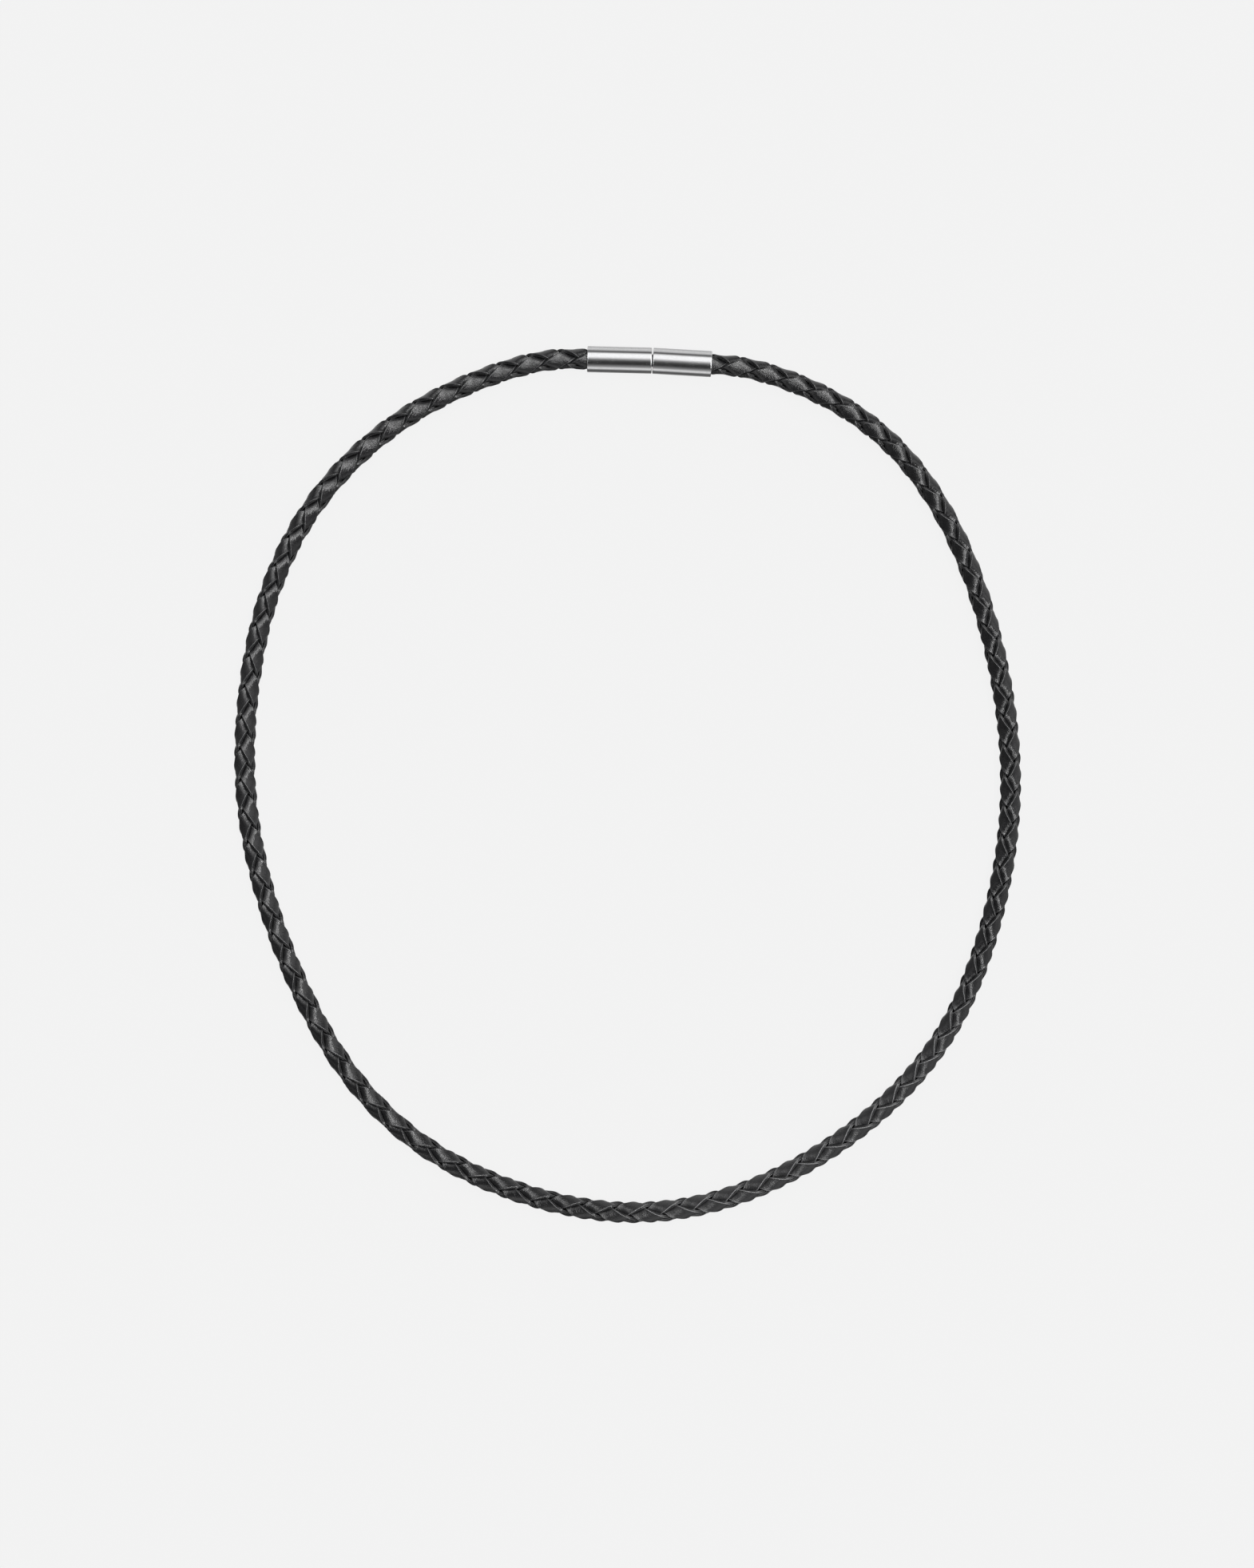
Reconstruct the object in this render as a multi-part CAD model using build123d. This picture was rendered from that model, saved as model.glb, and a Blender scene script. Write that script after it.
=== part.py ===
from build123d import *
from bisect import bisect
from collections import namedtuple
import math
import os

# A necklace: a round braid of four flat leather laces, closed into one loop by a two-piece
# barrel clasp. It lies flat, as it does on a table. The origin is on that table, under the
# middle of the loop. +Z is up, +Y points at the clasp and +X to the clasp's right-hand side.

# The laces of the braid.
LACE_WIDTH = 2.3
LACE_THICKNESS = 0.78
LACE_EDGE = 0.34
LACE_GAP = 0.12
PITCH = 12.1

# The clasp: two round metal barrels that meet face to face over a hidden pin.
BARREL_DIAMETER = 5.0
BARREL_WALL = 0.35
BARREL_ROUNDING = 0.15
SOCKET_LENGTH = 12.5
PLUG_LENGTH = 11.4
BORE_DEPTH = 6.4
BORE_CLEARANCE = 0.1
JOINT_GAP = 0.2
PIN_DIAMETER = 2.4
PIN_LENGTH = 3.6
PIN_CLEARANCE = 0.25

# Where the two barrels meet, and how far each one's axis falls away from the X axis.
JOINT_X = 4.9
JOINT_Y = 82.0
SOCKET_SLOPE = 1.4
PLUG_SLOPE = 3.3

# The middle line of the cord between the clasp's two mouths, seen from above: control points
# of a smooth curve, clockwise from the plug's side, which run just outside the cord's bends.
ROUTE = [
    (23.0, 80.8), (31.2, 78.5), (42.8, 73.3), (55.0, 63.3), (64.5, 48.0), (71.0, 29.0),
    (74.5, 9.5), (74.5, -9.5), (70.5, -29.0), (63.5, -47.5), (51.0, -62.5), (35.0, -74.0),
    (17.0, -82.0), (-2.5, -84.0), (-22.0, -79.5), (-40.0, -71.0), (-54.0, -57.5),
    (-63.5, -40.5), (-70.5, -22.0), (-74.5, -3.0), (-74.0, 16.5), (-70.5, 36.0),
    (-62.0, 54.0), (-49.0, 67.5), (-36.0, 75.5), (-24.2, 80.2), (-15.2, 82.4),
]
ROUTE_LEAD = 7.0

# How the braid changes along the cord: at a share of its length, how far it is drawn out, as
# a share of the pitch, and how far it is rolled about its own middle line, in degrees.
Stretch = namedtuple("Stretch", "at drawn roll")
WEAVE = [
    Stretch(at=0.00, drawn=0.93, roll=168),
    Stretch(at=0.05, drawn=0.97, roll=166),
    Stretch(at=0.14, drawn=0.97, roll=150),
    Stretch(at=0.20, drawn=0.985, roll=134),
    Stretch(at=0.33, drawn=0.975, roll=126),
    Stretch(at=0.40, drawn=1.03, roll=129),
    Stretch(at=0.48, drawn=1.055, roll=124),
    Stretch(at=0.54, drawn=1.055, roll=137),
    Stretch(at=0.60, drawn=1.02, roll=151),
    Stretch(at=0.67, drawn=1.02, roll=142),
    Stretch(at=0.72, drawn=0.993, roll=138),
    Stretch(at=0.84, drawn=0.993, roll=140),
    Stretch(at=0.89, drawn=0.975, roll=158),
    Stretch(at=1.00, drawn=0.965, roll=162),
]

# How finely the curves are cut: facets of a lace in one turn, and steps in a span of route.
STATIONS_PER_TURN = 8
STEPS_PER_SPAN = 40

# Which side of a lace's six-cornered section faces the middle of the cord.
INNER_SIDE = 4

# A lace lies one lace further out where it passes over than where it passes under.
UNDER_REACH = 0.29 * LACE_WIDTH
OVER_REACH = UNDER_REACH + 1.08 * (LACE_THICKNESS + LACE_GAP)
FLAT_HALF = (LACE_WIDTH - LACE_THICKNESS) / 2
BORE_RADIUS = BARREL_DIAMETER / 2 - BARREL_WALL
PIN_RADIUS = PIN_DIAMETER / 2


def smoothstep(share):
    share = max(0.0, min(1.0, share))
    return share * share * (3 - 2 * share)


def lace_middle(turn):
    """Middle of a lace in the straight braid: out over the cord's middle line, then along."""
    out = OVER_REACH * (1.03 * math.cos(turn) - 0.03 * math.cos(5 * turn))
    side = UNDER_REACH * (
        1.25 * math.sin(turn) + 0.32 * math.sin(3 * turn) + 0.07 * math.sin(5 * turn)
    )
    along = PITCH * (0.033 * math.sin(2 * turn) + 0.010 * math.sin(4 * turn))
    return Vector(out, side, along)


def lace_heading(turn):
    step = 0.001
    travel = Vector(0, 0, 2 * step * PITCH / (2 * math.pi))
    return (lace_middle(turn + step) - lace_middle(turn - step) + travel).normalized()


def lace_section(turn):
    """Six corners of the lace's section there: a flat strap with pared edges, cupped a little."""
    middle = lace_middle(turn)
    heading = lace_heading(turn)
    facing = turn + 0.07 * math.sin(2 * turn) - 0.06 * math.sin(4 * turn)
    across = Vector(math.cos(facing), math.sin(facing), 0).cross(heading).normalized()
    outward = heading.cross(across)
    cup = LACE_THICKNESS * (0.13 - 0.035 * math.cos(2 * turn) - 0.06 * math.cos(6 * turn))
    edge = LACE_WIDTH / 2
    shoulder = edge - LACE_EDGE
    face = LACE_THICKNESS / 2
    corners = [
        (edge, 0), (shoulder, face), (-shoulder, face), (-edge, 0), (-shoulder, -face),
        (shoulder, -face),
    ]
    section = []
    for sideways, lift in corners:
        drop = cup * min((sideways / FLAT_HALF) ** 2, 1.6)
        section.append(middle + across * sideways + outward * (lift - drop))
    return section


def braid_corners():
    """The corners of one lace's sections in one turn of the straight braid."""
    turns = [math.pi * (2 * k + 1) / STATIONS_PER_TURN for k in range(STATIONS_PER_TURN)]
    return [corner for turn in turns for corner in lace_section(turn)]


def braid_radius():
    """The furthest that any corner of a lace reaches from the cord's middle line."""
    return max(math.hypot(corner.X, corner.Y) for corner in braid_corners())


def cord_depth():
    """How deep the cord's end station sits in a bore: the slanted ends reach past it."""
    return BORE_DEPTH - BORE_CLEARANCE - max(abs(corner.Z) for corner in braid_corners())


def clasp_axes():
    """The joint's middle, and the directions in which the plug and the socket lie from it."""
    height = BARREL_DIAMETER / 2
    plug = math.radians(-PLUG_SLOPE)
    socket = math.radians(180 - SOCKET_SLOPE)
    return (
        Vector(JOINT_X, JOINT_Y, height),
        Vector(math.cos(plug), math.sin(plug), 0),
        Vector(math.cos(socket), math.sin(socket), 0),
    )


def cord_ends():
    """How far each end of the cord lies from the joint, inside its bore."""
    seat = JOINT_GAP / 2 - cord_depth()
    return PLUG_LENGTH + seat, SOCKET_LENGTH + seat


def route_controls():
    """The route's control points, led straight out of the bore at each end."""
    joint, to_plug, to_socket = clasp_axes()
    plug_end, socket_end = cord_ends()
    lead_in = [joint + to_plug * (plug_end + k * ROUTE_LEAD) for k in (-1, 0, 1)]
    lead_out = [joint + to_socket * (socket_end + k * ROUTE_LEAD) for k in (1, 0, -1)]
    return lead_in + [Vector(x, y, 0) for x, y in ROUTE] + lead_out


def spline_point(points, share):
    """A point of one span of a smooth curve, from the four control points about it."""
    left = 1 - share
    weights = (
        left**3 / 6,
        (3 * share**3 - 6 * share**2 + 4) / 6,
        (3 * left**3 - 6 * left**2 + 4) / 6,
        share**3 / 6,
    )
    x = sum(weight * point.X for weight, point in zip(weights, points))
    y = sum(weight * point.Y for weight, point in zip(weights, points))
    return Vector(x, y, 0)


class Route:
    """The cord's middle line, by distance from its end in the plug."""

    def __init__(self):
        controls = route_controls()
        self.points = [
            spline_point(controls[span:span + 4], step / STEPS_PER_SPAN)
            for span in range(len(controls) - 3)
            for step in range(STEPS_PER_SPAN)
        ]
        self.points.append(spline_point(controls[-4:], 1))
        self.marks = [0.0]
        for start, stop in zip(self.points, self.points[1:]):
            self.marks.append(self.marks[-1] + (stop - start).length)
        self.length = self.marks[-1]

    def at(self, distance):
        """The point at a distance and the direction there, carried on straight past the ends."""
        index = max(1, min(bisect(self.marks, distance), len(self.points) - 1))
        start = self.points[index - 1]
        span = self.points[index] - start
        heading = span.normalized()
        return start + heading * (distance - self.marks[index - 1]), heading

    def past_mouth(self, distance):
        """How far outside the nearer mouth of the clasp a point of the cord is."""
        return min(distance, self.length - distance) - cord_depth()


def between(share, name):
    """A column of the weave's table, read smoothly between its rows."""
    share = max(0.0, min(1.0, share))
    for row, after in zip(WEAVE, WEAVE[1:]):
        if share <= after.at:
            blend = smoothstep((share - row.at) / (after.at - row.at))
            return getattr(row, name) * (1 - blend) + getattr(after, name) * blend


def station_marks(route):
    """Where the cord's stations are: closer together where the braid is less drawn out."""
    mean = sum(
        (row.drawn + after.drawn) / 2 * (after.at - row.at)
        for row, after in zip(WEAVE, WEAVE[1:])
    )
    step = PITCH / STATIONS_PER_TURN
    count = round(route.length / (step * mean))
    marks = [0.0]
    for _ in range(count):
        marks.append(marks[-1] + step * between(marks[-1] / route.length, "drawn"))
    scale = route.length / marks[-1]
    return [mark * scale for mark in marks]


def bent(corner, distance, route, radius):
    """A corner of the straight braid, carried to its place on the loop."""
    place = distance + corner.Z
    point, heading = route.at(place)
    outside = route.past_mouth(distance)
    narrow = (BORE_RADIUS - BORE_CLEARANCE) / radius
    size = narrow + (1 - narrow) * smoothstep(outside / BARREL_DIAMETER)
    settle = smoothstep(outside / (4 * BARREL_DIAMETER))
    height = BARREL_DIAMETER / 2 * (1 - settle) + radius * settle
    roll = math.radians(between(distance / route.length, "roll"))
    up = corner.X * math.cos(roll) - corner.Y * math.sin(roll)
    out = corner.X * math.sin(roll) + corner.Y * math.cos(roll)
    outward = Vector(-heading.Y, heading.X, 0)
    return point + outward * (out * size) + Vector(0, 0, height + up * size)


def faceted(rings, hollow_side):
    """A closed solid of flat triangles through rings of corners, with flat ends. Each facet is
    folded outwards, but on the hollow side inwards, which leaves room for what lies there."""
    triangles = []
    for ring, after in zip(rings, rings[1:]):
        for k, corner in enumerate(ring):
            step = (k + 1) % len(ring)
            if k == hollow_side:
                triangles.append((corner, ring[step], after[step]))
                triangles.append((corner, after[step], after[k]))
            else:
                triangles.append((corner, ring[step], after[k]))
                triangles.append((ring[step], after[step], after[k]))
    first = rings[0]
    last = rings[-1]
    for k in range(1, len(first) - 1):
        triangles.append((first[0], first[k + 1], first[k]))
        triangles.append((last[0], last[k], last[k + 1]))
    faces = [Face(Wire.make_polygon(triangle, close=True)) for triangle in triangles]
    return Solid(Shell(faces))


def lace(route, marks, radius, crossed, opposite):
    """One lace of the braid. The crossed pair turns the other way, a quarter turn later."""
    rings = []
    for number, mark in enumerate(marks):
        turn = math.pi * (2 * number + 1) / STATIONS_PER_TURN
        if crossed:
            turn -= math.pi / 2
        ring = []
        for corner in lace_section(turn):
            side = -1 if opposite else 1
            if crossed:
                straight = Vector(side * corner.Y, side * corner.X, corner.Z)
            else:
                straight = Vector(side * corner.X, side * corner.Y, corner.Z)
            ring.append(bent(straight, mark, route, radius))
        rings.append(ring)
    return faceted(rings, INNER_SIDE)


def barrel(length):
    """A clasp barrel along +Z from its joint face, with the blind bore that holds the cord."""
    body = Cylinder(BARREL_DIAMETER / 2, length, align=(Align.CENTER, Align.CENTER, Align.MIN))
    bore = Cylinder(BORE_RADIUS, BORE_DEPTH, align=(Align.CENTER, Align.CENTER, Align.MAX))
    body = fillet(body.edges().filter_by(GeomType.CIRCLE), BARREL_ROUNDING)
    return body - Pos(0, 0, length) * bore


def clasp_socket():
    pocket = Cylinder(
        PIN_RADIUS + PIN_CLEARANCE,
        PIN_LENGTH + PIN_CLEARANCE,
        align=(Align.CENTER, Align.CENTER, Align.MIN),
    )
    return barrel(SOCKET_LENGTH) - pocket


def clasp_plug():
    pin = Cylinder(
        PIN_RADIUS, JOINT_GAP + PIN_LENGTH, align=(Align.CENTER, Align.CENTER, Align.MAX)
    )
    return barrel(PLUG_LENGTH) + pin


def placed(piece, joint, direction):
    """Turns a barrel onto its own axis, half the joint's gap away from the joint."""
    start = joint + direction * (JOINT_GAP / 2)
    return Plane(origin=start, z_dir=direction) * piece


def main():
    os.makedirs("parts", exist_ok=True)
    route = Route()
    marks = station_marks(route)
    radius = braid_radius()
    joint, to_plug, to_socket = clasp_axes()
    pieces = {
        "lace_1": lace(route, marks, radius, crossed=False, opposite=False),
        "lace_2": lace(route, marks, radius, crossed=False, opposite=True),
        "lace_3": lace(route, marks, radius, crossed=True, opposite=False),
        "lace_4": lace(route, marks, radius, crossed=True, opposite=True),
        "clasp_socket": placed(clasp_socket(), joint, to_socket),
        "clasp_plug": placed(clasp_plug(), joint, to_plug),
    }
    print(f"cord {route.length:.1f} long, {2 * radius:.2f} across, {len(marks)} stations")
    for name, piece in pieces.items():
        export_step(piece, f"parts/{name}.step")


main()
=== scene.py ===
import math

import bpy
import numpy as np
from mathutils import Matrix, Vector
from mathutils.bvhtree import BVHTree


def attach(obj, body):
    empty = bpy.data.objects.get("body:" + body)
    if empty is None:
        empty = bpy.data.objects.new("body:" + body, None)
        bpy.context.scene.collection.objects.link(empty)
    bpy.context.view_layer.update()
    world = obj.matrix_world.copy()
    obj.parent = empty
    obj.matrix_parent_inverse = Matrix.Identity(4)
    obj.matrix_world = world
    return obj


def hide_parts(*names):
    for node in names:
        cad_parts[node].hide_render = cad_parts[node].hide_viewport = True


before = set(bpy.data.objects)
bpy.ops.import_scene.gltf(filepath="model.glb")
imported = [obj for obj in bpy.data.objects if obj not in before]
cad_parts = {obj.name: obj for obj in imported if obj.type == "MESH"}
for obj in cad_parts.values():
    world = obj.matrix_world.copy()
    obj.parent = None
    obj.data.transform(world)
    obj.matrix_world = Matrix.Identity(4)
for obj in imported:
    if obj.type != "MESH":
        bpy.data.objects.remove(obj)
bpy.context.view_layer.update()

scene = bpy.context.scene

# The photographer's camera: a long lens straight above the middle of the loop, with the clasp
# at the top of the picture, as the necklace lies in the photograph.
VIEW_HEIGHT = 0.3039
LENS = 85.0
SENSOR = 36.0
EYE_LEVEL = 0.0022

camera_data = bpy.data.cameras.new("camera")
camera_data.lens = LENS
camera_data.sensor_width = SENSOR
camera = bpy.data.objects.new("camera", camera_data)
camera.location = (0.0, 0.0, EYE_LEVEL + VIEW_HEIGHT * LENS / SENSOR)
scene.collection.objects.link(camera)
scene.camera = camera
scene.view_settings.view_transform = "Standard"


# The table: a back-lit white light table, as small products are photographed on, so that the
# necklace has almost no shadow. It gives most of its own light and takes a little from above.
TABLE_HALF = 5.0
TABLE_TOP = -0.00002
TABLE_WHITE = "#f2f2f2"
TABLE_LIGHT = "#f1f1f1"
TABLE_SHEET = "#ffffff"
TABLE_GLOW = 0.98
BACKDROP_RADIUS = 4.5
BACKDROP_SEGMENTS = 64
BACKDROP_RINGS = 32


def linear(hex_colour):
    """An sRGB hex colour as linear red, green, blue and alpha."""
    channels = [int(hex_colour[k:k + 2], 16) / 255 for k in (1, 3, 5)]
    return [c / 12.92 if c <= 0.04045 else ((c + 0.055) / 1.055) ** 2.4 for c in channels] + [1]


def add_node(tree, kind, settings, inputs):
    """Adds a node. Its settings are its own properties, its inputs values or linked sockets."""
    node = tree.nodes.new(kind)
    for name, value in settings.items():
        setattr(node, name, value)
    for name, value in inputs.items():
        if isinstance(value, bpy.types.NodeSocket):
            tree.links.new(value, node.inputs[name])
        else:
            node.inputs[name].default_value = value
    return node


def new_material(name):
    """A material with an empty tree, and the tree."""
    material = bpy.data.materials.new(name)
    material.use_nodes = True
    material.node_tree.nodes.clear()
    return material, material.node_tree


def deselect_all():
    """An operator acts on all that is selected, so each piece starts from nothing selected."""
    for obj in bpy.context.selected_objects:
        obj.select_set(False)


# Back-lit white acrylic: an even glow, with a little of the light from above on it.
table_material, tree = new_material("light_table_acrylic")
glow = add_node(tree, "ShaderNodeEmission", {}, {
    "Color": linear(TABLE_LIGHT), "Strength": 1.0,
})
sheet = add_node(tree, "ShaderNodeBsdfDiffuse", {}, {"Color": linear(TABLE_SHEET)})
lit = add_node(tree, "ShaderNodeMixShader", {}, {
    "Fac": TABLE_GLOW, 1: sheet.outputs[0], 2: glow.outputs[0],
})
add_node(tree, "ShaderNodeOutputMaterial", {}, {"Surface": lit.outputs[0]})

deselect_all()
bpy.ops.mesh.primitive_plane_add(size=2 * TABLE_HALF, location=(0, 0, TABLE_TOP))
table = bpy.context.object
table.name = "light_table"
table.data.materials.append(table_material)
# The world's lower half stands for the table in reflections, bright on the clasp's side and
# mostly dark on the near side, so the plane itself is hidden from them.
table.visible_glossy = False

# White backdrop paper: one even tone past the table's edge, seen by the camera alone.
backdrop_material, tree = new_material("backdrop_paper")
paper = add_node(tree, "ShaderNodeEmission", {}, {
    "Color": linear(TABLE_WHITE), "Strength": 1.0,
})
add_node(tree, "ShaderNodeOutputMaterial", {}, {"Surface": paper.outputs[0]})
deselect_all()
bpy.ops.mesh.primitive_uv_sphere_add(
    radius=BACKDROP_RADIUS, segments=BACKDROP_SEGMENTS, ring_count=BACKDROP_RINGS,
)
backdrop = bpy.context.object
backdrop.name = "backdrop"
backdrop.data.materials.append(backdrop_material)
backdrop.visible_diffuse = False
backdrop.visible_glossy = False
backdrop.visible_transmission = False
backdrop.visible_volume_scatter = False
backdrop.visible_shadow = False


# The light: a large soft box leans over the clasp's side of the table, three strip lights hang
# beside the camera, and low cards stand near and to the right. Each is given by its directions:
# a lean from overhead towards the near side, and a share towards the right.
ROOM_LEAN = [
    (-180, 0.62), (-128, 0.72), (-110, 0.92), (-91, 0.78), (-82, 0.48), (-76, 0.22),
    (-69, 0.12), (-63, 0.26), (-57, 0.66), (-50, 1.20), (-44, 1.45), (-18, 1.45), (-11, 1.12),
    (-5, 0.80), (0, 0.53), (6, 0.32), (12, 0.17), (18, 0.10), (25, 0.065), (34, 0.046),
    (42, 0.052), (49, 0.09), (57, 0.19), (66, 0.31), (74, 0.50), (81, 0.78), (88, 1.05),
    (95, 1.02), (103, 0.60), (112, 0.20), (126, 0.10), (180, 0.45),
]
ROOM_SIDE = [
    (-1.0, 0.35), (-0.65, 0.40), (-0.45, 1.1), (-0.25, 1.2), (-0.15, 1.0), (0.60, 1.0), (1.0, 0.5),
]
STRIPS_LEAN = [
    (-180, 0), (-70, 0), (-45, 0.2), (-25, 0.8), (-10, 1), (18, 1), (35, 0.5), (55, 0), (180, 0),
]
STRIPS_SIDE = [
    (-1.0, 0), (-0.15, 0), (-0.13, 10), (-0.09, 10), (-0.08, 0), (0.08, 0), (0.09, 13), (0.13, 13),
    (0.15, 0.4), (0.29, 0.4), (0.31, 19), (0.36, 19), (0.38, 0.4), (0.60, 0.4), (0.75, 0.3),
    (1.0, 0.2),
]
RIGHT_CARD_SIDE = [(-1.0, 0), (0.75, 0), (0.88, 0.3), (1.0, 0.3)]

world = bpy.data.worlds.new("studio")
scene.world = world
world.use_nodes = True
tree = world.node_tree
tree.nodes.clear()


def light_ramp(value, stops, low, high):
    """Light levels read from stops by a value between low and high, as a share of the peak,
    and the peak."""
    share = add_node(tree, "ShaderNodeMapRange", {}, {
        "Value": value, "From Min": low, "From Max": high,
    })
    ramp = add_node(tree, "ShaderNodeValToRGB", {}, {"Fac": share.outputs[0]})
    peak = max(level for _, level in stops)
    elements = ramp.color_ramp.elements
    while len(elements) < len(stops):
        elements.new(0.5)
    for element, (place, level) in zip(elements, stops):
        element.position = (place - stops[0][0]) / (stops[-1][0] - stops[0][0])
        element.color = (level / peak, level / peak, level / peak, 1)
    return ramp.outputs["Color"], peak


def times(first, second):
    """The product of two light levels."""
    product = add_node(tree, "ShaderNodeMath", {"operation": "MULTIPLY"}, {0: first, 1: second})
    return product.outputs[0]


direction = add_node(tree, "ShaderNodeTexCoord", {}, {})
split = add_node(tree, "ShaderNodeSeparateXYZ", {}, {"Vector": direction.outputs["Generated"]})
near = times(split.outputs["Y"], -1.0)
lean = add_node(tree, "ShaderNodeMath", {"operation": "ARCTAN2"}, {
    0: near, 1: split.outputs["Z"],
}).outputs[0]
side = split.outputs["X"]
room_lean, room_peak = light_ramp(lean, ROOM_LEAN, -math.pi, math.pi)
room_side, _ = light_ramp(side, ROOM_SIDE, -1.0, 1.0)
strips_lean, _ = light_ramp(lean, STRIPS_LEAN, -math.pi, math.pi)
strips_side, strips_peak = light_ramp(side, STRIPS_SIDE, -1.0, 1.0)
card_side, card_peak = light_ramp(side, RIGHT_CARD_SIDE, -1.0, 1.0)
room = times(times(room_lean, room_side), room_peak)
strips = times(times(strips_lean, strips_side), strips_peak)
card = times(card_side, card_peak)
lamps = add_node(tree, "ShaderNodeMath", {"operation": "ADD"}, {0: room, 1: strips})
level = add_node(tree, "ShaderNodeMath", {"operation": "ADD"}, {0: lamps.outputs[0], 1: card})
light = add_node(tree, "ShaderNodeBackground", {}, {"Color": level.outputs[0]})
add_node(tree, "ShaderNodeOutputWorld", {}, {"Surface": light.outputs[0]})


# The cord: four flat laces of black dyed leather, braided round by hand or machine. Each lace
# weaves over one and under one of the pair that turns the other way, and winds once round the
# cord in about 12 mm. Both ends are glued into the clasp.
MM = 0.001
LACE_WIDTH = 2.60
LACE_THICKNESS = 0.66
LACE_ROUNDING = 0.14
PITCH = 12.1

# Where a lace runs in the straight braid, as it winds over and under the others: how far it
# reaches, and the waves that carry it outwards, sideways and along, each by how often it comes
# in a turn and its share.
UNDER_REACH = 0.62
OVER_REACH = 1.50
OUT_WAVES = {1: 1.03, 5: -0.03}
SIDE_WAVES = {1: 1.25, 3: 0.32, 5: 0.07}
ALONG_WAVES = {2: 0.033, 4: 0.010}

# Which way a lace faces, and how its edges drop into a cup, by waves of the same kind. An edge
# drops by the cup at FLAT_HALF from the middle, and by CUP_LIMIT times that at the most.
FACING_WAVES = {2: 0.07, 4: -0.06}
LACE_CUP = 0.8
CUP_WAVES = {0: 0.13, 2: -0.035, 6: -0.06}
CUP_LIMIT = 1.6
FLAT_HALF = 0.8

# How finely a lace is cut: steps round its section, rings in a turn, the CAD's rings, whose
# places the fine ones follow, and the step of turn, in radians, that its heading is taken over.
CORNER_STEPS = 3
FACE_STEPS = 8
WALL_STEPS = 2
STATIONS_PER_TURN = 48
CAD_STATIONS = 8
TURN_STEP = 0.001

# How the laces are pressed together: rounds, the last of them without spreading, the gap that
# stays, how far a neighbour is felt, the half of a push that each lace takes, and what of it is
# kept at its place and spread to each place beside it.
PRESS_ROUNDS = 12
UNSPREAD_ROUNDS = 2
PRESS_GAP = 0.02
PRESS_REACH = 0.6
PUSH_HALF = 0.5
PUSH_KEPT = 0.6
PUSH_SPREAD = 0.1

# The clasp's two barrels, which the cord's ends go into, the cord inside their mouths, and the
# length over which it settles from there to the surface.
BARREL_DIAMETER = 5.0
SOCKET_LENGTH = 12.5
PLUG_LENGTH = 11.4
JOINT_GAP = 0.2
JOINT = Vector((4.9, 82.0, 2.5))
PLUG_SLOPE = math.radians(3.3)
SOCKET_SLOPE = math.radians(1.4)
PLUG_WAY = Vector((math.cos(PLUG_SLOPE), -math.sin(PLUG_SLOPE), 0))
SOCKET_WAY = Vector((-math.cos(SOCKET_SLOPE), math.sin(SOCKET_SLOPE), 0))
CORD_DEPTH = 5.29
CORD_RADIUS = 2.10
MOUTH_RADIUS = 2.05
SETTLE_LENGTH = 4 * BARREL_DIAMETER

# The cord's middle line seen from above, in millimetres: control points of a smooth curve,
# clockwise from the right-hand barrel.
ROUTE = [
    (23.0, 80.8), (31.2, 78.5), (42.8, 73.3), (55.0, 63.3), (64.5, 48.0), (71.0, 29.0),
    (74.5, 9.5), (74.5, -9.5), (70.5, -29.0), (63.5, -47.5), (51.0, -62.5), (35.0, -74.0),
    (17.0, -82.0), (-2.5, -84.0), (-22.0, -79.5), (-40.0, -71.0), (-54.0, -57.5),
    (-63.5, -40.5), (-70.5, -22.0), (-74.5, -3.0), (-74.0, 16.5), (-70.5, 36.0),
    (-62.0, 54.0), (-49.0, 67.5), (-36.0, 75.5), (-24.2, 80.2), (-15.2, 82.4),
]
ROUTE_LEAD = 7.0
ROUTE_STEPS = 48
CUBIC = 4

# Where along the cord the leather is drawn greyer and duller, as shares of its length.
FRONT_AT = 0.41
FRONT_HALF = 0.055

# How the braid changes along the cord: at a share of its length, how far it is drawn out, as a
# share of the pitch, and how far it is rolled about its own middle line, in degrees.
WEAVE_AT = [
    0.00, 0.05, 0.14, 0.20, 0.33, 0.40, 0.48, 0.54, 0.60, 0.67, 0.72, 0.84, 0.89, 1.00,
]
WEAVE_DRAWN = [
    0.93, 0.97, 0.97, 0.985, 0.975, 1.03, 1.055, 1.055, 1.02, 1.02, 0.993, 0.993, 0.975, 0.965,
]
WEAVE_ROLL = [168, 166, 150, 134, 126, 129, 124, 137, 151, 142, 138, 140, 158, 162]


def smoothstep(share):
    """A share between 0 and 1, eased at both ends."""
    share = np.clip(share, 0, 1)
    return share * share * (3 - 2 * share)


def unit(vectors):
    """Vectors brought to a length of one."""
    return vectors / np.linalg.norm(vectors, axis=-1, keepdims=True)


def waves(wave, shares, turn):
    """Waves added up, each with its share, by how often it comes in a turn."""
    return sum(share * wave(often * turn) for often, share in shares.items())


def lace_middle(turn):
    """Middle of a lace in the straight braid: outwards, sideways, and ahead of even travel."""
    out = OVER_REACH * waves(np.cos, OUT_WAVES, turn)
    side = UNDER_REACH * waves(np.sin, SIDE_WAVES, turn)
    along = PITCH * waves(np.sin, ALONG_WAVES, turn)
    return np.stack([out, side, along], axis=-1)


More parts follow.
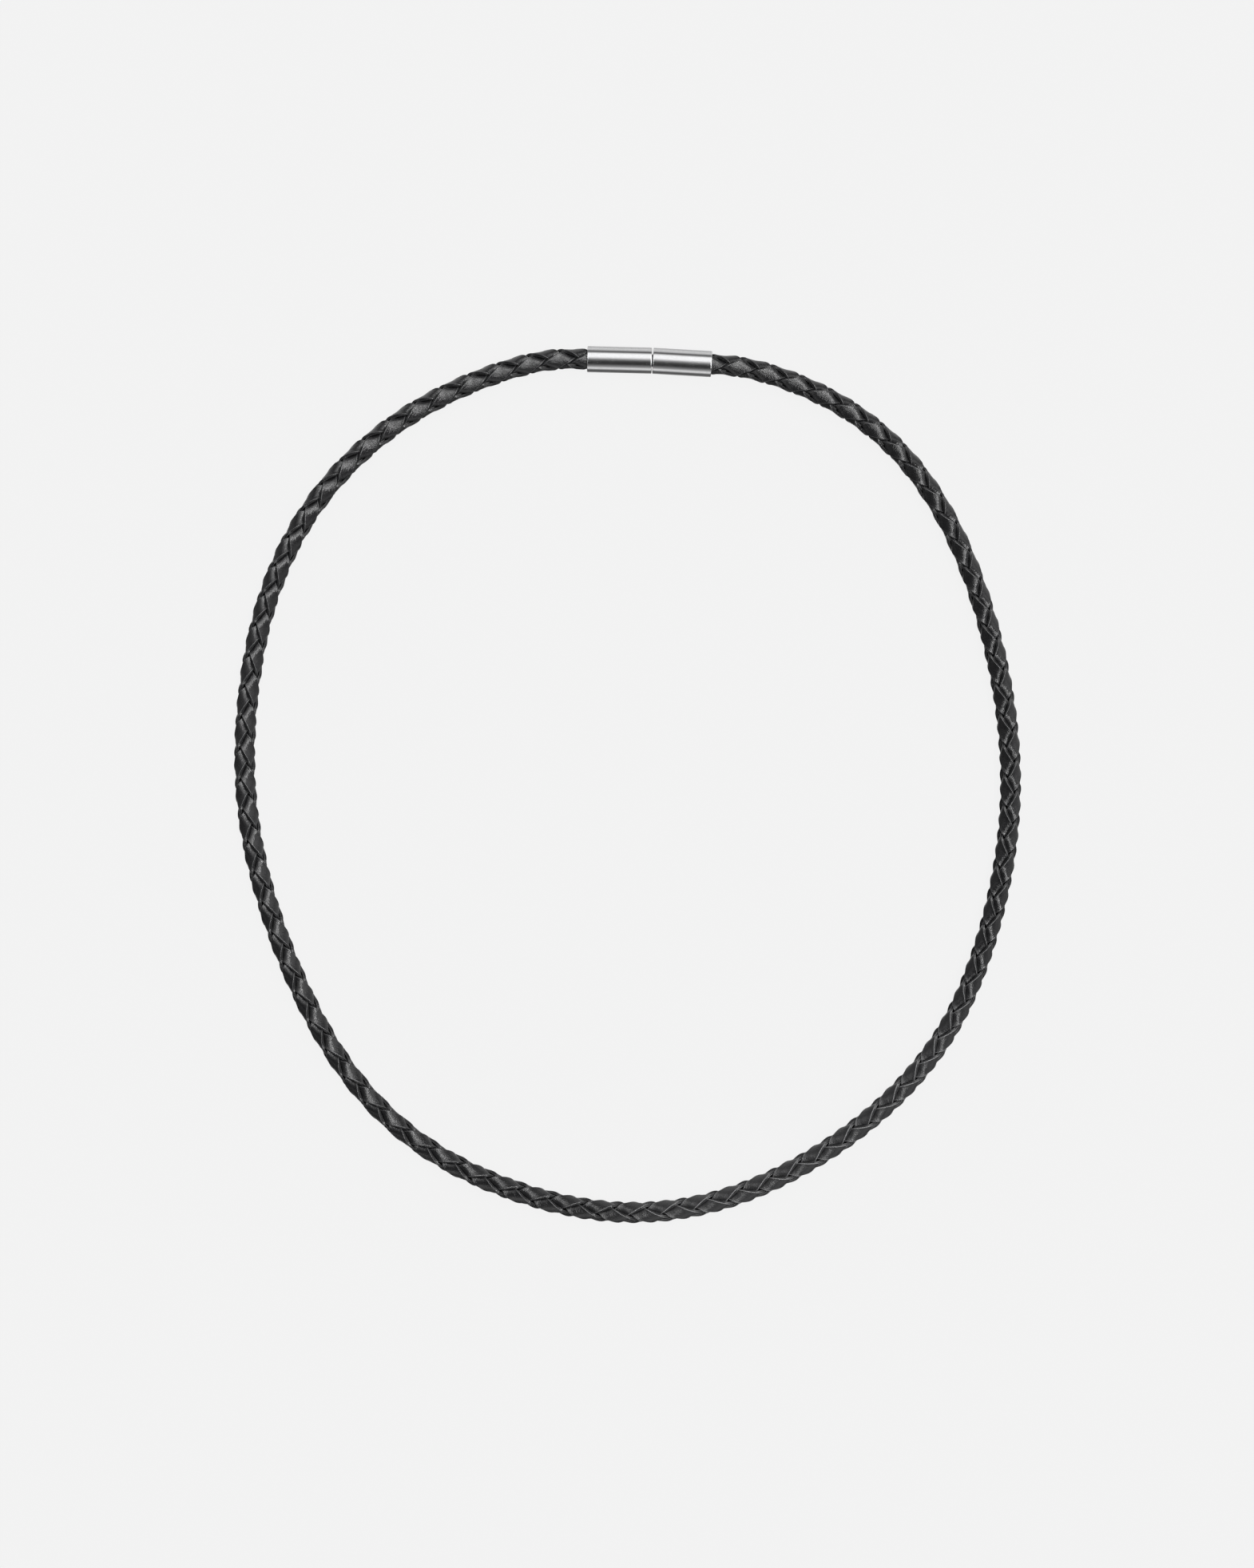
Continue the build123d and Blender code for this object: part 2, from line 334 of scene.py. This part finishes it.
def strap_section():
    """A flat strap's outline with its corners rounded off, as places across and through it, and
    how much of an arris each is."""
    wide = LACE_WIDTH / 2 - LACE_ROUNDING
    high = LACE_THICKNESS / 2 - LACE_ROUNDING
    outline = []
    for corner, (across, through) in enumerate(((1, 1), (-1, 1), (-1, -1), (1, -1))):
        steps = WALL_STEPS if corner % 2 else FACE_STEPS
        for step in range(CORNER_STEPS + 1):
            lean = (corner + step / CORNER_STEPS) * math.pi / 2
            side = across * wide + LACE_ROUNDING * math.cos(lean)
            lift = through * high + LACE_ROUNDING * math.sin(lean)
            outline.append((side, lift, abs(math.sin(2 * lean))))
        for step in range(1, steps):
            inward = 1 - 2 * (step / steps)
            if corner % 2:
                outline.append((across * LACE_WIDTH / 2, through * high * inward, 0.0))
            else:
                outline.append((across * wide * inward, through * LACE_THICKNESS / 2, 0.0))
    return np.array(outline)


def straight_lace(turn, outline):
    """Corners of the lace in the straight braid, one ring at each angle of its turn."""
    travel = np.array([0, 0, 2 * TURN_STEP * PITCH / (2 * math.pi)])
    heading = unit(lace_middle(turn + TURN_STEP) - lace_middle(turn - TURN_STEP) + travel)
    facing = turn + waves(np.sin, FACING_WAVES, turn)
    level = np.stack([np.cos(facing), np.sin(facing), np.zeros_like(facing)], axis=-1)
    across = unit(np.cross(level, heading))
    outward = np.cross(heading, across)
    cup = LACE_CUP * waves(np.cos, CUP_WAVES, turn)
    drop = cup[:, None] * np.minimum((outline[:, 0] / FLAT_HALF) ** 2, CUP_LIMIT)
    lift = outline[:, 1] - drop
    return (
        lace_middle(turn)[:, None]
        + across[:, None] * outline[:, 0, None]
        + outward[:, None] * lift[:, :, None]
    )


def tube_faces(rings, corners):
    """Four-cornered faces along a tube of rings, pointing outwards."""
    numbers = np.arange(rings * corners).reshape(rings, corners)
    after = np.roll(numbers, -1, axis=1)
    return np.stack([numbers[:-1], after[:-1], after[1:], numbers[1:]], axis=-1).reshape(-1, 4)


def pressed_turn(outline):
    """One turn of a lace of the straight braid, as rings of corners, pressed by its neighbours.
    Soft leather gives way where two laces meet, each by half, so that they lie close together
    and don't cut into each other. All four laces have this shape, turned and mirrored."""
    turn = np.arange(STATIONS_PER_TURN) * 2 * math.pi / STATIONS_PER_TURN
    rings = straight_lace(turn, outline)
    rings[..., 2] += (PITCH * turn / (2 * math.pi))[:, None]
    corners = len(outline)
    for press in range(PRESS_ROUNDS):
        longer = np.concatenate([rings + [0, 0, PITCH * k] for k in (-1, 0, 1)])
        x, y, z = longer[..., 0], longer[..., 1], longer[..., 2]
        quarter = PITCH / 4
        neighbours = [
            (np.stack([-x, -y, z], axis=-1), False),
            (np.stack([y, x, z + quarter], axis=-1), True),
            (np.stack([-y, -x, z + quarter], axis=-1), True),
            (np.stack([y, x, z + quarter - PITCH], axis=-1), True),
            (np.stack([-y, -x, z + quarter - PITCH], axis=-1), True),
        ]
        push = np.zeros_like(rings)
        for shape, mirrored in neighbours:
            faces = tube_faces(len(shape), corners)
            if mirrored:
                faces = faces[:, ::-1]
            surface = BVHTree.FromPolygons(shape.reshape(-1, 3).tolist(), faces.tolist())
            for ring in range(STATIONS_PER_TURN):
                for corner in range(corners):
                    place = Vector(rings[ring, corner])
                    hit, normal, _, _ = surface.find_nearest(place, PRESS_REACH)
                    if hit is None:
                        continue
                    depth = PRESS_GAP - (place - hit).dot(normal)
                    if depth > 0:
                        push[ring, corner] += np.array(normal) * depth * PUSH_HALF
        if press < PRESS_ROUNDS - UNSPREAD_ROUNDS:
            along = np.roll(push, 1, axis=0) + np.roll(push, -1, axis=0)
            around = np.roll(push, 1, axis=1) + np.roll(push, -1, axis=1)
            push = push * PUSH_KEPT + (along + around) * PUSH_SPREAD
        rings = rings + push
    rings[..., 2] -= (PITCH * turn / (2 * math.pi))[:, None]
    return rings


def cord_route():
    """The cord's middle line as points, from a smooth curve led straight out of each bore."""
    seat = JOINT_GAP / 2 - CORD_DEPTH
    plug_end = PLUG_LENGTH + seat
    socket_end = SOCKET_LENGTH + seat
    controls = [JOINT + PLUG_WAY * (plug_end + k * ROUTE_LEAD) for k in (-1, 0, 1)]
    controls += [Vector((x, y, 0)) for x, y in ROUTE]
    controls += [JOINT + SOCKET_WAY * (socket_end + k * ROUTE_LEAD) for k in (1, 0, -1)]
    curve = bpy.data.curves.new("cord_route", "CURVE")
    curve.dimensions = "3D"
    curve.resolution_u = ROUTE_STEPS
    spline = curve.splines.new("NURBS")
    spline.points.add(len(controls) - 1)
    for point, place in zip(spline.points, controls):
        point.co = (place.x, place.y, 0, 1)
    spline.order_u = CUBIC
    spline.use_endpoint_u = False
    holder = bpy.data.objects.new("cord_route", curve)
    mesh = bpy.data.meshes.new_from_object(holder)
    points = np.array([vertex.co for vertex in mesh.vertices])
    bpy.data.objects.remove(holder)
    bpy.data.curves.remove(curve)
    bpy.data.meshes.remove(mesh)
    return points


def eased(share, values):
    """A column of the weave's table, read smoothly between its rows."""
    share = np.clip(share, 0, 1)
    row = np.clip(np.searchsorted(WEAVE_AT, share) - 1, 0, len(WEAVE_AT) - 2)
    start = np.array(WEAVE_AT)[row]
    stop = np.array(WEAVE_AT)[row + 1]
    blend = smoothstep((share - start) / (stop - start))
    return np.array(values)[row] * (1 - blend) + np.array(values)[row + 1] * blend


route = cord_route()
runs = np.linalg.norm(np.diff(route, axis=0), axis=1)
route_marks = np.concatenate([[0], np.cumsum(runs)])
cord_length = route_marks[-1]
route_headings = unit(np.gradient(route, axis=0))

drawn_mean = np.dot(np.diff(WEAVE_AT), np.add(WEAVE_DRAWN[1:], WEAVE_DRAWN[:-1]) / 2)
cad_step = PITCH / CAD_STATIONS
count = round(cord_length / (cad_step * drawn_mean))
marks = [0.0]
for _ in range(count):
    marks.append(marks[-1] + cad_step * float(eased(marks[-1] / cord_length, WEAVE_DRAWN)))
marks = np.array(marks) * cord_length / marks[-1]
fine = STATIONS_PER_TURN // CAD_STATIONS
station_numbers = np.arange(count * fine + 1) / fine
distances = np.interp(station_numbers, np.arange(count + 1), marks)
FIRST_RING = STATIONS_PER_TURN // (2 * CAD_STATIONS)
outline = strap_section()
one_turn = pressed_turn(outline)


def bent(corners):
    """Corners of the straight braid, ring by ring, carried to their places on the loop."""
    place = distances[:, None] + corners[:, :, 2]
    held = np.clip(place, 0, cord_length)
    point = np.stack([np.interp(held, route_marks, route[:, k]) for k in range(2)], axis=-1)
    heading = unit(
        np.stack([np.interp(held, route_marks, route_headings[:, k]) for k in range(2)], axis=-1)
    )
    point = point + heading * (place - held)[:, :, None]
    outside = np.minimum(distances, cord_length - distances) - CORD_DEPTH
    narrow = MOUTH_RADIUS / CORD_RADIUS
    size = (narrow + (1 - narrow) * smoothstep(outside / BARREL_DIAMETER))[:, None]
    settle = smoothstep(outside / SETTLE_LENGTH)
    height = (BARREL_DIAMETER / 2 * (1 - settle) + CORD_RADIUS * settle)[:, None]
    roll = np.radians(eased(distances / cord_length, WEAVE_ROLL))[:, None]
    up = corners[:, :, 0] * np.cos(roll) - corners[:, :, 1] * np.sin(roll)
    out = corners[:, :, 0] * np.sin(roll) + corners[:, :, 1] * np.cos(roll)
    x = point[:, :, 0] - heading[:, :, 1] * out * size
    y = point[:, :, 1] + heading[:, :, 0] * out * size
    return np.stack([x, y, height + up * size], axis=-1) * MM


def lace_mesh(name, crossed, opposite):
    """One lace of the braid. The crossed pair turns the other way, a quarter turn later."""
    phase = FIRST_RING - (STATIONS_PER_TURN // 4 if crossed else 0)
    straight = one_turn[(np.arange(len(distances)) + phase) % STATIONS_PER_TURN]
    order = [1, 0] if crossed else [0, 1]
    side = -1 if opposite else 1
    straight = np.concatenate([side * straight[..., order], straight[..., 2:]], axis=-1)
    rings = bent(straight)
    stations, corners = rings.shape[:2]
    quads = tube_faces(stations, corners)
    first = list(range(corners))
    last = list(range((stations - 1) * corners, stations * corners))
    faces = quads.tolist() + [first[::-1], last]
    # Carrying the straight braid to the loop mirrors it, and the crossed pair is mirrored twice.
    if not crossed:
        faces = [face[::-1] for face in faces]
    mesh = bpy.data.meshes.new(name)
    mesh.from_pydata(rings.reshape(-1, 3).tolist(), [], faces)
    arris = mesh.attributes.new("arris", "FLOAT", "POINT")
    arris.data.foreach_set("value", np.tile(outline[:, 2], stations))
    # A share that is 1 at the front of the loop and eases to 0 past it, where the leather is drawn
    # greyer and duller.
    front_mask = mesh.attributes.new("front_mask", "FLOAT", "POINT")
    off_front = np.abs(distances / cord_length - FRONT_AT) / FRONT_HALF
    front_mask.data.foreach_set("value", np.repeat(1 - smoothstep(off_front - 1), corners))
    mesh.polygons.foreach_set("use_smooth", [True] * len(faces))
    mesh.update()
    return mesh


# Black dyed leather: near-black satin with a fine pore grain and soft creases that break its
# highlights into specks, greyer and duller towards the front of the loop. Its rounded arrises are
# paler, partly the raw cut edge's own grey and partly a painted highlight along each edge. The
# real pores are finer than 0.1 mm and are drawn coarser, so that the eye sees them.
PORE_SPACING = 0.26
CREASE_SPACING = 0.7
CREASE_SHARE = 0.8
GRAIN_DEPTH = 0.036
# The face and arris greys, each with a greyer tone for the front of the loop.
FACE_BLACK = "#1a1a1b"
FACE_FRONT = "#242425"
# The arrises' grey: partly the cut edge's own, partly a painted highlight along the edge.
ARRIS_GREY_AND_HIGHLIGHT = "#3a3a3b"
ARRIS_FRONT_AND_HIGHLIGHT = "#6a6a6b"
WAX_SMOOTH = 0.16
WAX_DULL = 0.24
FRONT_DULLER = 0.12
LEATHER_IOR = 1.5
# Between these a noise texture has nearly all its values.
NOISE_LOW = 0.3
NOISE_HIGH = 0.7

leather, tree = new_material("black_dyed_leather")
place = add_node(tree, "ShaderNodeTexCoord", {}, {})
arris = add_node(tree, "ShaderNodeAttribute", {"attribute_name": "arris"}, {})
front_share = add_node(tree, "ShaderNodeAttribute", {"attribute_name": "front_mask"}, {})
grain = add_node(tree, "ShaderNodeTexVoronoi", {"feature": "SMOOTH_F1"}, {
    "Vector": place.outputs["Object"], "Scale": 1 / (PORE_SPACING * MM), "Smoothness": 0.6,
})
creases = add_node(tree, "ShaderNodeTexNoise", {}, {
    "Vector": place.outputs["Object"], "Scale": 1 / (CREASE_SPACING * MM),
    "Detail": 3.0, "Roughness": 0.6,
})
height = add_node(tree, "ShaderNodeMath", {"operation": "MULTIPLY_ADD"}, {
    0: creases.outputs[0], 1: CREASE_SHARE, 2: grain.outputs["Distance"],
})
bump = add_node(tree, "ShaderNodeBump", {}, {
    "Height": height.outputs[0], "Strength": 1.0, "Distance": GRAIN_DEPTH * MM,
})
face = add_node(tree, "ShaderNodeMix", {"data_type": "RGBA"}, {
    0: front_share.outputs["Fac"], 6: linear(FACE_BLACK), 7: linear(FACE_FRONT),
})
edge = add_node(tree, "ShaderNodeMix", {"data_type": "RGBA"}, {
    0: front_share.outputs["Fac"], 6: linear(ARRIS_GREY_AND_HIGHLIGHT), 7: linear(ARRIS_FRONT_AND_HIGHLIGHT),
})
# Paler on the arrises: the cut edge's grey with a painted highlight on it.
dye_and_highlight = add_node(tree, "ShaderNodeMix", {"data_type": "RGBA"}, {
    0: arris.outputs["Fac"], 6: face.outputs[2], 7: edge.outputs[2],
})
wax = add_node(tree, "ShaderNodeMapRange", {}, {
    "Value": creases.outputs[0], "From Min": NOISE_LOW, "From Max": NOISE_HIGH,
    "To Min": WAX_SMOOTH, "To Max": WAX_DULL,
})
sheen = add_node(tree, "ShaderNodeMath", {"operation": "MULTIPLY_ADD"}, {
    0: front_share.outputs["Fac"], 1: FRONT_DULLER, 2: wax.outputs[0],
})
skin = add_node(tree, "ShaderNodeBsdfPrincipled", {}, {
    "Base Color": dye_and_highlight.outputs[2], "Roughness": sheen.outputs[0], "IOR": LEATHER_IOR,
    "Normal": bump.outputs[0],
})
add_node(tree, "ShaderNodeOutputMaterial", {}, {"Surface": skin.outputs[0]})

LACES = {
    "lace_1": (False, False),
    "lace_2": (False, True),
    "lace_3": (True, False),
    "lace_4": (True, True),
}
for node_name, (crossed, opposite) in LACES.items():
    name = f"leather_{node_name}"
    lace = bpy.data.objects.new(name, lace_mesh(name, crossed, opposite))
    scene.collection.objects.link(lace)
    lace.data.materials.append(leather)
    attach(lace, "root")
    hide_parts(node_name)


# The clasp: two barrels turned from stainless steel rod and polished. The cord is glued into
# the bore at the outer end of each, and a pin on the right one snaps into the left one.
BARREL_WALL = 0.35
BORE_DEPTH = 6.4
BARREL_SIDES = 128
RIM_ROUNDING = 0.15
RIM_STEPS = 4
PIN_RADIUS = 1.2
PIN_LENGTH = 3.6
PIN_CLEARANCE = 0.25
SMOOTH_ANGLE = math.radians(35)
# A corner or face this near to a place counts as there, and a face this square across the rod
# counts as flat.
TOUCH = 0.01
SQUARE = 0.99

# Polished stainless steel: a cool mirror with a slight haze, so that the light's bands run
# along the barrels with soft edges.
STEEL_GREY = "#e7e7e8"
HAZE_SPACING = 1.5
POLISH_CLEAR = 0.03
POLISH_HAZY = 0.07

steel, tree = new_material("polished_stainless_steel")
place = add_node(tree, "ShaderNodeTexCoord", {}, {})
haze = add_node(tree, "ShaderNodeTexNoise", {}, {
    "Vector": place.outputs["Object"], "Scale": 1 / (HAZE_SPACING * MM), "Detail": 4.0,
})
polish = add_node(tree, "ShaderNodeMapRange", {}, {
    "Value": haze.outputs[0], "From Min": NOISE_LOW, "From Max": NOISE_HIGH,
    "To Min": POLISH_CLEAR, "To Max": POLISH_HAZY,
})
metal = add_node(tree, "ShaderNodeBsdfPrincipled", {}, {
    "Base Color": linear(STEEL_GREY), "Metallic": 1.0, "Roughness": polish.outputs[0],
})
add_node(tree, "ShaderNodeOutputMaterial", {}, {"Surface": metal.outputs[0]})

# Turned stainless steel on the faces inside the joint and the bores: dull from the tool, and
# painted dark grey as the shade in the gap and the bores, so that they stay darker than the
# polished outside.
TURNED_SHADE_GREY = "#58585a"
TURNED_DULL = 0.45

shaded_turned_steel, tree = new_material("turned_steel_painted_shade")
metal = add_node(tree, "ShaderNodeBsdfPrincipled", {}, {
    "Base Color": linear(TURNED_SHADE_GREY), "Metallic": 1.0, "Roughness": TURNED_DULL,
})
add_node(tree, "ShaderNodeOutputMaterial", {}, {"Surface": metal.outputs[0]})


def edit_selected(obj, kind, chosen):
    """Opens the object for editing with the chosen faces or edges selected, and nothing else."""
    deselect_all()
    bpy.context.view_layer.objects.active = obj
    obj.select_set(True)
    for elements in (obj.data.vertices, obj.data.edges, obj.data.polygons):
        elements.foreach_set("select", [False] * len(elements))
    for element in chosen:
        element.select = True
    bpy.context.tool_settings.mesh_select_mode = (False, kind == "EDGE", kind == "FACE")
    bpy.ops.object.mode_set(mode="EDIT")


def cap(obj, level):
    """The flat face across the rod at a level, which has the most corners there."""
    flat = [
        face for face in obj.data.polygons
        if abs(face.normal.z) > SQUARE and abs(face.center.z - level) < TOUCH * MM
    ]
    return max(flat, key=lambda face: len(face.vertices))


def sink_end(obj, level, margin, step):
    """Insets the rod's end by a margin and pushes what is inside it along by a step."""
    edit_selected(obj, "FACE", [cap(obj, level)])
    bpy.ops.mesh.inset(thickness=margin)
    bpy.ops.mesh.extrude_region_move(TRANSFORM_OT_translate={"value": (0, 0, step)})
    bpy.ops.object.mode_set(mode="OBJECT")


def round_rims(obj, levels, radius, rounding):
    """Rounds the circles of one radius at the given levels."""
    places = [vertex.co for vertex in obj.data.vertices]

    def on_rim(place):
        level_fits = any(abs(place.z - level) < TOUCH * MM for level in levels)
        return level_fits and abs(math.hypot(place.x, place.y) - radius) < TOUCH * MM

    rims = [edge for edge in obj.data.edges if all(on_rim(places[k]) for k in edge.vertices)]
    edit_selected(obj, "EDGE", rims)
    bpy.ops.mesh.bevel(offset=rounding, segments=RIM_STEPS, affect="EDGES")
    bpy.ops.object.mode_set(mode="OBJECT")


def turned_barrel(name, length, core_radius, core_step, way):
    """A rod turned to size: a bored mouth at one end, and a pin or a pocket at the joint."""
    deselect_all()
    bpy.ops.mesh.primitive_cylinder_add(
        vertices=BARREL_SIDES, radius=BARREL_DIAMETER / 2 * MM, depth=length * MM,
        location=(0, 0, length / 2 * MM),
    )
    barrel = bpy.context.object
    barrel.name = name
    barrel.data.name = name
    bpy.ops.object.transform_apply(location=True)
    sink_end(barrel, length * MM, BARREL_WALL * MM, -BORE_DEPTH * MM)
    sink_end(barrel, 0, (BARREL_DIAMETER / 2 - core_radius) * MM, core_step * MM)
    round_rims(barrel, (0, length * MM), BARREL_DIAMETER / 2 * MM, RIM_ROUNDING * MM)
    barrel.data.materials.append(steel)
    barrel.data.materials.append(shaded_turned_steel)
    # Faces inside the rims get the turned steel, painted dark as the shade in the joint and the
    # bores.
    inside = (BARREL_DIAMETER / 2 - RIM_ROUNDING + TOUCH) * MM
    for face in barrel.data.polygons:
        corners = [barrel.data.vertices[k].co for k in face.vertices]
        face.material_index = int(max(math.hypot(co.x, co.y) for co in corners) < inside)
    deselect_all()
    barrel.select_set(True)
    bpy.context.view_layer.objects.active = barrel
    barrel.rotation_mode = "QUATERNION"
    barrel.rotation_quaternion = way.to_track_quat("Z", "Y")
    barrel.location = (JOINT + way * (JOINT_GAP / 2)) * MM
    bpy.ops.object.transform_apply(location=True, rotation=True)
    bpy.ops.object.shade_smooth_by_angle(angle=SMOOTH_ANGLE)
    bpy.ops.object.modifier_add(type="WEIGHTED_NORMAL")
    barrel.modifiers[-1].keep_sharp = True
    bpy.ops.object.modifier_apply(modifier=barrel.modifiers[-1].name)
    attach(barrel, "root")
    return barrel


socket = turned_barrel(
    "steel_clasp_socket", SOCKET_LENGTH, PIN_RADIUS + PIN_CLEARANCE,
    PIN_LENGTH + PIN_CLEARANCE, SOCKET_WAY,
)
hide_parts("clasp_socket")
plug = turned_barrel(
    "steel_clasp_plug", PLUG_LENGTH, PIN_RADIUS, -(JOINT_GAP + PIN_LENGTH), PLUG_WAY,
)
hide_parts("clasp_plug")
